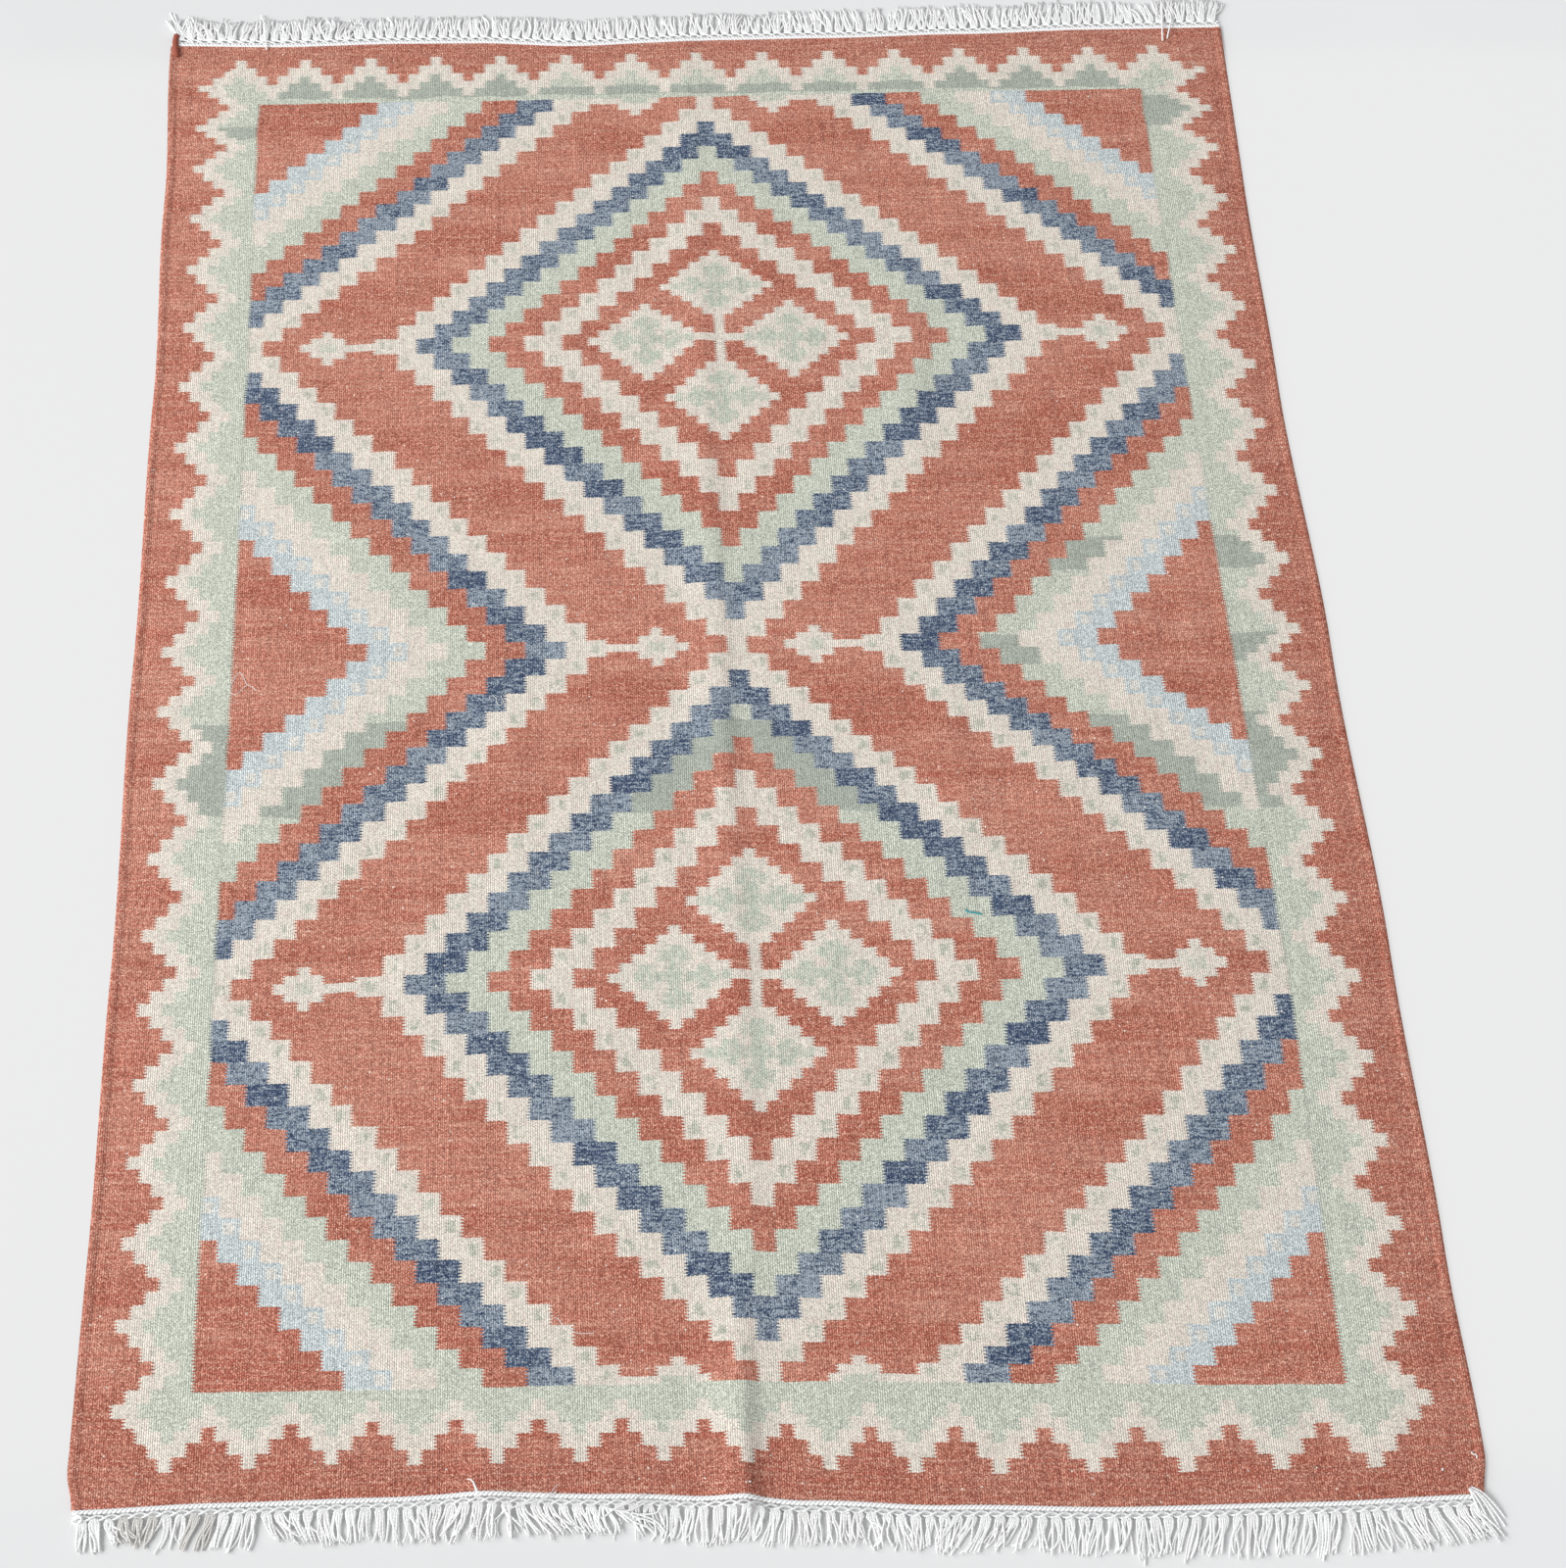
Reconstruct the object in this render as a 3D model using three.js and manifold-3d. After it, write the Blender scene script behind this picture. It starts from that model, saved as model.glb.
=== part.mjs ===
import * as THREE from "three";
import { mergeVertices } from "three/addons/utils/BufferGeometryUtils.js";
import Module from "manifold-3d";

// A flat-woven kilim rug lying on the floor: one woven cloth, and at each end a twined heading
// with its knotted fringe. Millimetres, +X across the cloth, +Y along it, +Z up, floor at z = 0.

const clothThickness = 3;
const seamGap = 0.3;
const meanWidth = 1296;
const meanLength = 1830;

// Where the two selvedges lie, from the near end (along 0) to the far end (along 1).
const selvedges = [
  { along: 0.0, left: -625, right: 670 },
  { along: 0.02, left: -632, right: 676 },
  { along: 0.13, left: -633, right: 668 },
  { along: 0.3, left: -638, right: 659 },
  { along: 0.5, left: -647, right: 645 },
  { along: 0.7, left: -655, right: 629 },
  { along: 0.86, left: -666, right: 623 },
  { along: 1.0, left: -678, right: 622 },
];

// Where the two woven ends lie, from the left selvedge (across 0) to the right one (across 1).
const ends = [
  { across: 0.0, near: -907, far: 909 },
  { across: 0.1, near: -903, far: 906 },
  { across: 0.22, near: -901, far: 910 },
  { across: 0.29, near: -898, far: 910 },
  { across: 0.38, near: -902, far: 904 },
  { across: 0.47, near: -907, far: 909 },
  { across: 0.52, near: -912, far: 912 },
  { across: 0.62, near: -919, far: 914 },
  { across: 0.75, near: -924, far: 919 },
  { across: 0.88, near: -923, far: 925 },
  { across: 1.0, near: -919, far: 927 },
];

// Low ridges left by the way the rug was folded: the crest's place across, the place along where
// it is highest, how far it fades either way along, its height and the width of its two flanks.
const folds = [
  { across: 0.486, along: 0.5, reach: 0.9, height: 3, leftFlank: 44, rightFlank: 22 },
  { across: 0.474, along: 0.0, reach: 0.12, height: 7, leftFlank: 48, rightFlank: 24 },
  { across: 0.488, along: 0.45, reach: 0.08, height: 2, leftFlank: 44, rightFlank: 22 },
  { across: 0.676, along: 0.73, reach: 0.13, height: 3, leftFlank: 70, rightFlank: 26 },
  { across: 0.676, along: 0.42, reach: 0.1, height: 2, leftFlank: 50, rightFlank: 26 },
  { across: 0.316, along: 0.42, reach: 0.1, height: 2, leftFlank: 50, rightFlank: 26 },
  { across: 0.29, along: 0.0, reach: 0.06, height: 4, leftFlank: 40, rightFlank: 40 },
];

// The cord woven into each long edge, as heights at distances in from the edge.
const selvedgeProfile = [
  { inward: 0, height: 2.4 },
  { inward: 3, height: 4.4 },
  { inward: 7, height: 4.2 },
  { inward: 10, height: 2.4 },
  { inward: 15, height: clothThickness },
];

// The grid of points that carries the cloth's form, closer where the folds and edges need it.
const grid = { columns: 14, rows: 18, nearRows: [0.045, 0.075], closest: 3, evenRoom: 9 };

const heading = { width: 9, innerHeight: 3.4, outerHeight: 2.8 };

const lock = {
  count: 100,
  segments: 3,
  rootDepth: 4,
  rootWidth: 6.5,
  bellyWidth: 8,
  tipWidth: 5.5,
  rootHeight: 2.6,
  tipHeight: 1.8,
  crown: 0.55,
  settled: 0.5,
  endMargin: 4,
  leanJitter: 2,
  lengthJitter: 3,
};

// How the fringe is combed: lean in degrees from straight out, positive to the right, and length.
const nearCombing = [
  { across: 0.0, lean: -4, length: 38 },
  { across: 0.02, lean: 6, length: 38 },
  { across: 0.09, lean: -22, length: 37 },
  { across: 0.12, lean: -24, length: 37 },
  { across: 0.15, lean: 22, length: 37 },
  { across: 0.21, lean: 2, length: 38 },
  { across: 0.26, lean: -4, length: 38 },
  { across: 0.31, lean: 6, length: 33 },
  { across: 0.35, lean: 28, length: 32 },
  { across: 0.41, lean: 0, length: 33 },
  { across: 0.46, lean: -14, length: 32 },
  { across: 0.54, lean: -8, length: 31 },
  { across: 0.59, lean: 0, length: 31 },
  { across: 0.64, lean: -20, length: 33 },
  { across: 0.7, lean: -6, length: 35 },
  { across: 0.79, lean: -17, length: 35 },
  { across: 0.87, lean: -2, length: 38 },
  { across: 0.92, lean: 18, length: 38 },
  { across: 0.97, lean: 24, length: 38 },
  { across: 1.0, lean: 36, length: 42 },
];
const farCombing = [
  { across: 0.0, lean: -14, length: 40 },
  { across: 0.05, lean: -2, length: 36 },
  { across: 0.15, lean: 6, length: 35 },
  { across: 0.24, lean: -6, length: 37 },
  { across: 0.36, lean: 5, length: 35 },
  { across: 0.46, lean: -7, length: 34 },
  { across: 0.56, lean: 4, length: 36 },
  { across: 0.66, lean: -6, length: 35 },
  { across: 0.78, lean: 3, length: 36 },
  { across: 0.9, lean: -3, length: 37 },
  { across: 1.0, lean: 16, length: 38 },
];

const lengthSeed = 5;
const clothColour = 0xb0604a;
const cottonColour = 0xeeece6;

function smooth(t) {
  const held = THREE.MathUtils.clamp(t, 0, 1);
  return held * held * (3 - 2 * held);
}

// Reads one column of a table, easing from each row to the next.
function readTable(rows, key, column, place) {
  let next = rows.findIndex((row) => row[key] >= place);
  if (next < 0) {
    next = rows.length - 1;
  }
  if (next === 0) {
    return rows[0][column];
  }
  const before = rows[next - 1];
  const after = rows[next];
  const share = smooth((place - before[key]) / (after[key] - before[key]));
  return THREE.MathUtils.lerp(before[column], after[column], share);
}

// A point of the cloth's plan, from shares across and along it.
function planPoint(across, along) {
  const left = readTable(selvedges, "along", "left", along);
  const right = readTable(selvedges, "along", "right", along);
  const near = readTable(ends, "across", "near", across);
  const far = readTable(ends, "across", "far", across);
  return {
    x: THREE.MathUtils.lerp(left, right, across),
    y: THREE.MathUtils.lerp(near, far, along),
    width: right - left,
  };
}

// How far the cloth is lifted off the floor by its folds.
function liftAt(across, along) {
  const { width } = planPoint(across, along);
  let lift = 0;
  for (const fold of folds) {
    const offset = (across - fold.across) * width;
    const flank = offset < 0 ? fold.leftFlank : fold.rightFlank;
    const fade = smooth(1 - Math.abs(along - fold.along) / fold.reach);
    lift += fold.height * fade * smooth(1 - Math.abs(offset) / flank);
  }
  return lift;
}

// Height of the cloth's upper face over its underside, with the cord along each selvedge.
function thicknessAt(across, width) {
  const inward = Math.min(across, 1 - across) * width;
  return readTable(selvedgeProfile, "inward", "height", inward);
}

// Sorted stations from 0 to 1: those that the form asks for, and even ones in the room between.
function stations(asked, evenCount, length) {
  const isClear = (place, others, room) => others.every((other) => Math.abs(other - place) * length >= room);
  const places = [0, 1];
  for (const place of asked) {
    if (isClear(place, places, grid.closest)) {
      places.push(place);
    }
  }
  for (let i = 1; i < evenCount; i++) {
    if (isClear(i / evenCount, places, grid.evenRoom)) {
      places.push(i / evenCount);
    }
  }
  return places.sort((a, b) => a - b);
}

function clothColumns() {
  const asked = [];
  for (const row of selvedgeProfile.slice(1)) {
    asked.push(row.inward / meanWidth, 1 - row.inward / meanWidth);
  }
  for (const fold of folds) {
    for (const share of [0, 0.5, 1]) {
      asked.push(fold.across - (share * fold.leftFlank) / meanWidth);
      asked.push(fold.across + (share * fold.rightFlank) / meanWidth);
    }
  }
  return stations(asked, grid.columns, meanWidth);
}

function clothRows() {
  const asked = selvedges.map((row) => row.along);
  asked.push(...grid.nearRows);
  return stations(asked, grid.rows, meanLength);
}

// A box of one unit whose grid of points is moved to its place by a function of the grid shares.
function formedBox(across, along, place) {
  const box = new THREE.BoxGeometry(1, 1, 1, across, along, 1);
  box.deleteAttribute("normal");
  box.deleteAttribute("uv");
  const points = box.attributes.position;
  for (let i = 0; i < points.count; i++) {
    const column = Math.round((points.getX(i) + 0.5) * across);
    const row = Math.round((points.getY(i) + 0.5) * along);
    const spot = place(column, row, points.getZ(i) > 0);
    points.setXYZ(i, spot.x, spot.y, spot.z);
  }
  return mergeVertices(box);
}

function wovenCloth() {
  const columns = clothColumns();
  const rows = clothRows();
  return formedBox(columns.length - 1, rows.length - 1, (column, row, isTop) => {
    const across = columns[column];
    const along = rows[row];
    const plan = planPoint(across, along);
    const thickness = isTop ? thicknessAt(across, plan.width) : 0;
    return { x: plan.x, y: plan.y, z: liftAt(across, along) + thickness };
  });
}

// The twined heading: a narrow strip that follows the cloth's end. side is -1 near, +1 far.
function headingStrip(side) {
  const columns = clothColumns();
  const along = side < 0 ? 0 : 1;
  return formedBox(columns.length - 1, 1, (column, row, isTop) => {
    const plan = planPoint(columns[column], along);
    const isOuter = side < 0 ? row === 0 : row === 1;
    const out = isOuter ? seamGap + heading.width : seamGap;
    const height = isOuter ? heading.outerHeight : heading.innerHeight;
    const lift = liftAt(columns[column], along);
    return { x: plan.x, y: plan.y + side * out, z: lift + (isTop ? height : 0) };
  });
}

// A repeatable scatter between -1 and 1 for the lock of this number.
function scatter(number, seed) {
  const wave = Math.sin(number * 127.1 + seed * 311.7) * 43758.5453;
  return 2 * (wave - Math.floor(wave)) - 1;
}

// One lock of the fringe: a flat-bottomed tapering strand from the heading down to the floor.
function fringeLock(side, number, combing) {
  const margin = lock.endMargin / meanWidth;
  const across = margin + ((number + 0.5) / lock.count) * (1 - 2 * margin);
  const root = planPoint(across, side < 0 ? 0 : 1);
  const rootLift = liftAt(across, side < 0 ? 0 : 1);
  const combedLean = readTable(combing, "across", "lean", across);
  const lean = THREE.MathUtils.degToRad(combedLean + lock.leanJitter * scatter(number, side));
  const combedLength = readTable(combing, "across", "length", across);
  const length = combedLength + lock.lengthJitter * scatter(number, side + lengthSeed);
  const start = root.y + side * (seamGap + heading.width - lock.rootDepth);
  return formedBox(1, lock.segments, (column, row, isTop) => {
    const share = (side < 0 ? lock.segments - row : row) / lock.segments;
    const belly = 1 - Math.abs(2 * share - 1);
    const endWidth = THREE.MathUtils.lerp(lock.rootWidth, lock.tipWidth, share);
    const width = THREE.MathUtils.lerp(endWidth, lock.bellyWidth, belly) * (isTop ? lock.crown : 1);
    const height = THREE.MathUtils.lerp(lock.rootHeight, lock.tipHeight, share);
    const sideways = (column - 0.5) * width;
    const reach = share * (length + lock.rootDepth);
    const lift = rootLift * smooth(1 - share / lock.settled);
    return {
      x: root.x + reach * Math.sin(lean) + sideways * Math.cos(lean),
      y: start + side * (reach * Math.cos(lean) - sideways * Math.sin(lean)),
      z: lift + (isTop ? height : 0),
    };
  });
}

const wasm = await Module();
wasm.setup();

function toSolid(geometry) {
  const mesh = new wasm.Mesh({
    numProp: 3,
    vertProperties: new Float32Array(geometry.attributes.position.array),
    triVerts: new Uint32Array(geometry.index.array),
  });
  return new wasm.Manifold(mesh);
}

function toGeometry(solid) {
  const mesh = solid.getMesh();
  const geometry = new THREE.BufferGeometry();
  geometry.setAttribute("position", new THREE.BufferAttribute(mesh.vertProperties, 3));
  geometry.setIndex(new THREE.BufferAttribute(mesh.triVerts, 1));
  return geometry;
}

// A heading with its locks fused into it by their roots only.
function fringe(side, combing) {
  let solid = toSolid(headingStrip(side));
  for (let number = 0; number < lock.count; number++) {
    solid = solid.add(toSolid(fringeLock(side, number, combing)));
  }
  return toGeometry(solid);
}

function namedMesh(name, geometry, colour) {
  const material = new THREE.MeshStandardMaterial({ color: colour, roughness: 0.95, metalness: 0 });
  const mesh = new THREE.Mesh(geometry, material);
  mesh.name = name;
  return mesh;
}

const rug = new THREE.Group();
rug.add(namedMesh("woven_cloth", wovenCloth(), clothColour));
rug.add(namedMesh("near_fringe", fringe(-1, nearCombing), cottonColour));
rug.add(namedMesh("far_fringe", fringe(1, farCombing), cottonColour));

// The origin is on the floor under the middle of the whole rug's box.
const box = new THREE.Box3().setFromObject(rug, true);
const middle = box.getCenter(new THREE.Vector3());
rug.position.set(-middle.x, -middle.y, 0);
rug.updateMatrixWorld(true);

export default rug;
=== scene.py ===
import math
from functools import reduce

import bpy
import numpy as np
from mathutils import Euler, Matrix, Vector


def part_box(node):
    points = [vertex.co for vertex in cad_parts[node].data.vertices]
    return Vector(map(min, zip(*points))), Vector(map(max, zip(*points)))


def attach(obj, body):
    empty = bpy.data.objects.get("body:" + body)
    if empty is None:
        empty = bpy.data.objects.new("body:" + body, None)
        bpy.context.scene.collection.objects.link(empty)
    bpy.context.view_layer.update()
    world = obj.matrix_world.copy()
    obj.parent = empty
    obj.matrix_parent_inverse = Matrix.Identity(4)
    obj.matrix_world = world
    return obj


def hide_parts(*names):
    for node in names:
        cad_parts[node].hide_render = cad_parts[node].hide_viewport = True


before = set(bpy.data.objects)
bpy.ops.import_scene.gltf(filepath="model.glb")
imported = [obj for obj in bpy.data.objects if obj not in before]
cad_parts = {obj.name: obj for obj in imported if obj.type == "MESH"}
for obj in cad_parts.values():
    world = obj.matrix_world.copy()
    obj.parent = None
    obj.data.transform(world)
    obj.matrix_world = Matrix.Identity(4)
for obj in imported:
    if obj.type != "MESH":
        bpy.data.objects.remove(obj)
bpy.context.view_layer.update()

# A kilim rug on a pale floor: a flat woven cloth, with a twined cotton heading and a
# fringe at each end. Sizes are in millimetres until toFrame makes them metres.

clothLow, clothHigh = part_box("woven_cloth")
mm = 0.001
clothWidth, clothLength = 1296, 1830  # the pattern, were the cloth quite square
bpy.context.scene.view_settings.view_transform = "Standard"
print("frame loaded, cloth", [round(v, 3) for v in clothHigh - clothLow])


# Tables and the rug's own form

def table(columns, *rows):
    names = columns.split()
    return {name: np.array([row[k] for row in rows], float) for k, name in enumerate(names)}


def smooth(t):
    held = np.clip(t, 0, 1)
    return held * held * (3 - 2 * held)


def mixed(a, b, share):
    return a + (b - a) * share


def between(keys, place):
    # the row after a place, and the place's share of the way to it
    after = np.clip(np.searchsorted(keys, place), 1, len(keys) - 1)
    return after, (place - keys[after - 1]) / (keys[after] - keys[after - 1])


def readTable(rows, key, column, place):
    # eased from each row to the next
    after, share = between(rows[key], place)
    return mixed(rows[column][after - 1], rows[column][after], smooth(share))


def straight(rows, key, column, place):
    # straight from row to row, and on past the first and the last
    after, share = between(rows[key], place)
    return mixed(rows[column][after - 1], rows[column][after], share)


selvedges = table(
    "along left right",
    (0.0, -625, 670), (0.02, -632, 676), (0.13, -633, 668), (0.3, -638, 659),
    (0.5, -647, 645), (0.7, -655, 629), (0.86, -666, 623), (1.0, -678, 622))

ends = table(
    "across near far",
    (0.0, -907, 909), (0.1, -903, 906), (0.22, -901, 910), (0.29, -898, 910),
    (0.38, -902, 904), (0.47, -907, 909), (0.52, -912, 912), (0.62, -919, 914),
    (0.75, -924, 919), (0.88, -923, 925), (1.0, -919, 927))

# low creases: the crest's place, its reach along, height and flanks
folds = table(
    "across along reach height leftFlank rightFlank",
    (0.486, 0.5, 0.9, 3, 44, 22), (0.474, 0.0, 0.16, 9.2, 46, 21),
    (0.488, 0.45, 0.08, 2, 44, 22), (0.676, 0.73, 0.13, 3, 70, 26),
    (0.676, 0.42, 0.1, 2, 50, 26), (0.316, 0.42, 0.1, 2, 50, 26),
    (0.29, 0.0, 0.06, 4, 40, 40))

# height of the upper face at the cord in each side
selvedgeProfile = table("inward height", (0, 2.4), (3, 4.2), (7, 4.0), (10, 2.85), (15, 3))

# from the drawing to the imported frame
shiftX = clothLow.x / mm - selvedges["left"].min()
shiftY = clothHigh.y / mm - ends["far"].max()


def outline(across, along):
    sides = [readTable(selvedges, "along", side, along) for side in ("left", "right")]
    return sides + [readTable(ends, "across", end, across) for end in ("near", "far")]


def planPoint(across, along):
    left, right, near, far = outline(across, along)
    return mixed(left, right, across), mixed(near, far, along), right - left


def liftAt(across, along):
    width = planPoint(across, along)[2]
    lift = 0
    for k in range(len(folds["across"])):
        fold = {name: column[k] for name, column in folds.items()}
        offset = (across - fold["across"]) * width
        flank = np.where(offset < 0, fold["leftFlank"], fold["rightFlank"])
        fade = smooth(1 - abs(along - fold["along"]) / fold["reach"])
        lift = lift + fold["height"] * fade * smooth(1 - abs(offset) / flank)
    return lift


def toFrame(x, y, z):
    return np.stack([(x + shiftX) * mm, (y + shiftY) * mm, z * mm + 0 * x], -1)


# Meshes

def newPiece(name, points, faces, maps, material, sharp=60):
    # maps: name to one (u, v) for each corner of each face
    mesh = bpy.data.meshes.new(name)
    mesh.from_pydata(points.tolist(), [], faces)
    for mapName, corners in maps.items():
        layer = mesh.uv_layers.new(name=mapName)
        layer.data.foreach_set("uv", np.asarray(corners, np.float32).ravel())
    mesh.materials.append(material)
    piece = bpy.data.objects.new(name, mesh)
    bpy.context.collection.objects.link(piece)
    bpy.ops.object.select_all(action="DESELECT")
    piece.select_set(True)
    bpy.context.view_layer.objects.active = piece
    bpy.ops.object.shade_smooth_by_angle(angle=math.radians(sharp))
    piece.select_set(False)
    return piece


def tubes(strands, sides):
    # closed tubes along strands: points in metres, radii, tone
    points, faces, strandMap, toneMap = [], [], [], []
    turn = np.arange(sides)[:, None] * 2 * math.pi / sides
    base = 0
    for path, radii, tone in strands:
        count = len(path)
        along = np.gradient(path, axis=0)
        along /= np.linalg.norm(along, axis=1)[:, None]
        level = np.cross(along, (0.0, 0.0, 1.0))
        level /= np.linalg.norm(level, axis=1)[:, None]
        upright = np.cross(level, along)
        ring = np.cos(turn) * level[:, None] + np.sin(turn) * upright[:, None]
        points.append((path[:, None] + radii[:, None, None] * ring).reshape(-1, 3))
        run = np.concatenate([[0], np.cumsum(np.linalg.norm(np.diff(path, axis=0), axis=1))])
        for n in range(count - 1):
            for k in range(sides):
                a, b = base + n * sides + k, base + n * sides + (k + 1) % sides
                faces.append((a, a + sides, b + sides, b))
                u0, u1 = k / sides, (k + 1) / sides
                strandMap += [(u0, run[n]), (u0, run[n + 1]), (u1, run[n + 1]), (u1, run[n])]
        first = range(base, base + sides)
        base += count * sides
        last = range(base - 1, base - sides - 1, -1)
        faces += [tuple(first), tuple(last)]
        strandMap += [(k / sides, at) for at in (0, run[-1]) for k in range(sides)]
        toneMap += [(tone, 0.5)] * ((4 * count - 2) * sides)
    return np.concatenate(points), faces, {"strand": strandMap, "tone": toneMap}


# Shader maths, written as sums

def joining(operation, turned=False):
    def join(self, other):
        return self.net.maths(operation, *((other, self) if turned else (self, other)))
    return join


class Wire:
    def __init__(self, net, socket):
        self.net = net
        self.socket = socket

    def out(self, name):
        return Wire(self.net, self.socket.node.outputs[name])

    def __abs__(self):
        return self.net.maths("ABSOLUTE", self)

    __add__ = joining("ADD")
    __radd__ = joining("ADD", turned=True)
    __sub__ = joining("SUBTRACT")
    __rsub__ = joining("SUBTRACT", turned=True)
    __mul__ = joining("MULTIPLY")
    __rmul__ = joining("MULTIPLY", turned=True)
    __truediv__ = joining("DIVIDE")
    __gt__ = joining("GREATER_THAN")
    __lt__ = joining("LESS_THAN")


class Net:
    def __init__(self, name):
        self.material = bpy.data.materials.new(name)
        self.material.use_nodes = True
        self.tree = self.material.node_tree
        self.tree.nodes.clear()

    def node(self, kind, settings, inputs, output=0):
        made = self.tree.nodes.new(kind)
        for name, value in settings.items():
            if name == "stops":
                while len(made.color_ramp.elements) < len(value):
                    made.color_ramp.elements.new(1)
                for element, (place, colour) in zip(made.color_ramp.elements, value):
                    element.position = place
                    element.color = colour
            elif name == "blend":
                made.color_ramp.interpolation = value
            else:
                setattr(made, name, value)
        for name, value in inputs.items():
            if isinstance(value, Wire):
                self.tree.links.new(value.socket, made.inputs[name])
            else:
                made.inputs[name].default_value = value
        return Wire(self, made.outputs[output]) if made.outputs else None

    def maths(self, operation, *values, held=False):
        settings = {"operation": operation, "use_clamp": held}
        return self.node("ShaderNodeMath", settings, dict(enumerate(values)))

    def map(self, name):
        pair = self.node("ShaderNodeUVMap", {"uv_map": name}, {})
        split = self.node("ShaderNodeSeparateXYZ", {}, {"Vector": pair})
        return split, split.out("Y")

    def pair(self, x, y):
        return self.node("ShaderNodeCombineXYZ", {}, {"X": x, "Y": y})

    def noise(self, x, y, kind, output="Fac"):
        across, along, detail = unevenness[kind]
        inputs = {"Vector": self.pair(x * across, y * along), "Scale": 1.0, "Detail": detail}
        return self.node("ShaderNodeTexNoise", {"noise_dimensions": "2D"}, inputs).out(output)

    def grain(self, x, y):
        inputs = {"Vector": self.pair(x, y)}
        settings = {"noise_dimensions": "2D"}
        return self.node("ShaderNodeTexWhiteNoise", settings, inputs).out("Value")

    def mix(self, share, a, b):
        settings = {"data_type": "RGBA", "clamp_factor": True}
        return self.node("ShaderNodeMix", settings, {0: share, 6: a, 7: b}, 2)

    def scaled(self, colour, amount):
        return self.node("ShaderNodeVectorMath", {"operation": "SCALE"}, {0: colour, 3: amount})

    def eased(self, value, low, high, most=1.0):
        inputs = {0: value, 1: low, 2: high, 4: most}
        settings = {"interpolation_type": "SMOOTHSTEP"}
        return self.node("ShaderNodeMapRange", settings, inputs)

    def bands(self, value, most, *ranges):
        # 1 where the value lies in one of the ranges (start, end), else 0
        stops = [(0.0, (0, 0, 0, 1))]
        for start, end in ranges:
            stops.append((start / most, (1, 1, 1, 1)))
            stops.append((end / most, (0, 0, 0, 1)))
        settings = {"blend": "CONSTANT", "stops": stops}
        return self.node("ShaderNodeValToRGB", settings, {"Fac": value / most})

    def floor(self, value):
        return self.maths("FLOOR", value)

    def whole(self, value):
        return self.floor(value + 0.5)

    def least(self, *values):
        return reduce(lambda a, b: self.maths("MINIMUM", a, b), values)

    def most(self, *values):
        return reduce(lambda a, b: self.maths("MAXIMUM", a, b), values)

    def ply(self, pitch):
        # the turns of a two-ply yarn along its strand
        turn, run = self.map("strand")
        return self.maths("SINE", (turn * 2 + run / (pitch * mm)) * (2 * math.pi))

    def surface(self, inputs):
        shader = self.node("ShaderNodeBsdfPrincipled", {}, inputs)
        self.node("ShaderNodeOutputMaterial", {}, {"Surface": shader})
        return self.material

    def finish(self, colour, height, relief):
        inputs = {"Height": height, "Distance": relief * mm, "Strength": 1.0}
        bump = self.node("ShaderNodeBump", {}, inputs)
        return self.surface({"Base Color": colour, "Normal": bump, **dullYarn})


dullYarn = {"Roughness": 0.95, "Specular IOR Level": 0.2}


def dye(*screen):
    # a colour as seen on screen, 0 to 255, made linear
    shares = [part / 255 for part in screen]
    return (*[v / 12.92 if v <= 0.04045 else ((v + 0.055) / 1.055) ** 2.4 for v in shares], 1.0)


# Camera

camera = {
    "place": (-49.65, -1649.83, 2583.07),  # drawing millimetres
    "turn": (30.1208, -1.4434, -0.8297),  # degrees, about X, then Y, then Z
    "lens": 65.25, "sensor": 36,
    "shift": 0.01224,
}


def makeCamera():
    x, y, z = camera["place"]
    bpy.ops.object.camera_add(location=((x + shiftX) * mm, (y + shiftY) * mm, z * mm))
    made = bpy.context.object
    made.data.lens = camera["lens"]
    made.data.sensor_width = camera["sensor"]
    made.data.shift_x = camera["shift"]
    turn = [math.radians(v) for v in camera["turn"]]
    made.rotation_euler = Euler(turn, "ZYX").to_matrix().to_euler()
    bpy.context.scene.camera = made


makeCamera()
print("camera placed")


# The cloth's colours

yarn = {
    "red": dye(190, 123, 105), "redDeep": dye(173, 98, 80), "redPale": dye(225, 183, 162),
    "redShade": dye(160, 89, 73), "redBright": dye(188, 96, 80),
    "navy": dye(60, 76, 105), "navyWorn": dye(155, 165, 175),
    "blue": dye(189, 200, 204),
    "sage": dye(194, 200, 185), "sageGrey": dye(167, 173, 162),
    "beige": dye(225, 218, 206), "beigePink": dye(227, 212, 201),
    "dot": dye(160, 175, 158), "warp": dye(246, 240, 228),
}

weave = {
    "warp": 2.17,  # pitch of the warps
    "bead": 3.3,  # length of one float, two picks
    "fibre": (0.95, 1.1),  # finest unevenness, across and along
    "tooth": 3.3,  # pitch of the teeth where two colours meet along a warp
    "toothReach": 2.1,
    "wander": 1.3,  # how far the steps stray from the chart
    "dip": 0.3, "sway": 2.0,  # how far a pick dips at each warp, and a warp strays
    "relief": 0.45,
    "ridge": (3.0, 2.6),  # how fast a float falls away from its middle, across and along
    "crown": (3.6, 2.0),  # and how fast it darkens: a painted highlight on the float's middle, painted shade towards its edges
}

# the tone: its middle, and the share that each cause has in it
toning = {
    # crown: a painted highlight on each float's middle and painted shade where the floats meet
    "middle": 0.75, "crown": 0.3, "ripple": 0.022, "speck": 0.1, "streak": 0.1,
    "coarse": 0.8, "coarseLess": 0.14,  # fibres, and less in the pale yarns
    "rib": 0.26, "ribLess": 0.12,  # ribs along the warps, the same
    "slit": 0.18, "slitWidth": 0.05,  # painted shade in the slits at the panel's sides
    "rim": 0.2, "rimWidth": 1.2,  # painted shade on the left selvedge's rim and its side face
}

# soft noises: waves to a metre across and along, and detail
unevenness = {
    "stray": (30, 30, 0.0), "streak": (18, 360, 1.0), "rib": (320, 10, 0.0),
    "batch": (2.4, 17, 2.0), "cloud": (160, 82, 0.0), "worn": (70, 400, 1.0),
}

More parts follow.
